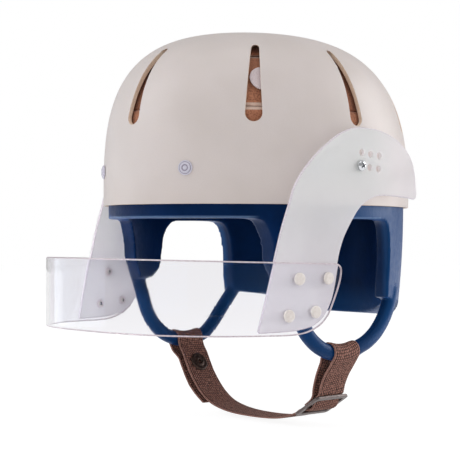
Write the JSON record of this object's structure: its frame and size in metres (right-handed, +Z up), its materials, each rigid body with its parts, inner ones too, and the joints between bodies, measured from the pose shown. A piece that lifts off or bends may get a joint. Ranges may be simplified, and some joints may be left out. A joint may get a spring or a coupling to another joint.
{
  "type": "hard shell helmet with face bar",
  "caption": "Protective helmet with a vented hard shell, foam liner, ear openings, a clear face bar on side arms and a webbing chin strap on soft ear loops.",
  "frame": {"origin": "centre of the shell's lower edge, where the head enters", "axes": "+Z up through the crown, the wearer looks along -Y, the wearer's left is +X"},
  "size_m": [0.222, 0.2797, 0.2809],
  "materials": {
    "shell": "warm off-white moulded shell, satin gloss",
    "liner": "navy dipped vinyl skin over foam",
    "pad": "copper brown closed-cell foam",
    "hook": "white hook fastener",
    "rivet": "pale lavender plastic rivet",
    "washer": "pale plastic washer",
    "arm": "frosted translucent sheet plastic",
    "bar": "clear sheet plastic",
    "cap": "pearl white rivet cap",
    "screw": "bright plated steel",
    "spacer": "off-white spacer",
    "webbing": "brown ribbed polyester webbing",
    "snap": "dark brown-black snap",
    "slide": "grey metal strap slide"
  },
  "bodies": {
    "helmet": {"shell_band": "shell", "shell_crown": "shell", "foam_liner": "liner", "rim_pad": "pad", "crown_pad": "pad", "crown_disc": "pad", "hook_dots": "hook", "shell_rivets": "rivet", "rivet_washers": "washer", "ear_loop_left": "liner", "ear_loop_right": "liner", "pivot_screw_left": "screw", "pivot_screw_right": "screw", "pivot_spacer_left": "spacer", "pivot_spacer_right": "spacer", "pivot_nut_left": "screw", "pivot_nut_right": "screw", "rear_standoffs": "spacer"},
    "face_guard": {"side_arm_left": "arm", "side_arm_right": "arm", "face_bar": "bar", "bar_rivets_left": "cap", "bar_rivets_right": "cap", "rivet_backs_left": "washer", "rivet_backs_right": "washer"},
    "chin_strap": {"chin_webbing": "webbing", "snap_cap": "snap", "snap_socket": "snap", "snap_stud": "snap", "snap_post": "snap", "strap_slide": "slide"}
  },
  "joints": [
    {"name": "guard_tilt", "type": "hinge", "parent": "helmet", "child": "face_guard", "pos_m": [0, -0.0035, 0.027], "axis": [-1, 0, 0], "range_deg": [-15, 35]},
    {"name": "strap_swing", "type": "hinge", "parent": "helmet", "child": "chin_strap", "pos_m": [0, 0, -0.0585], "axis": [1, 0, 0], "range_deg": [-8, 8]}
  ]
}
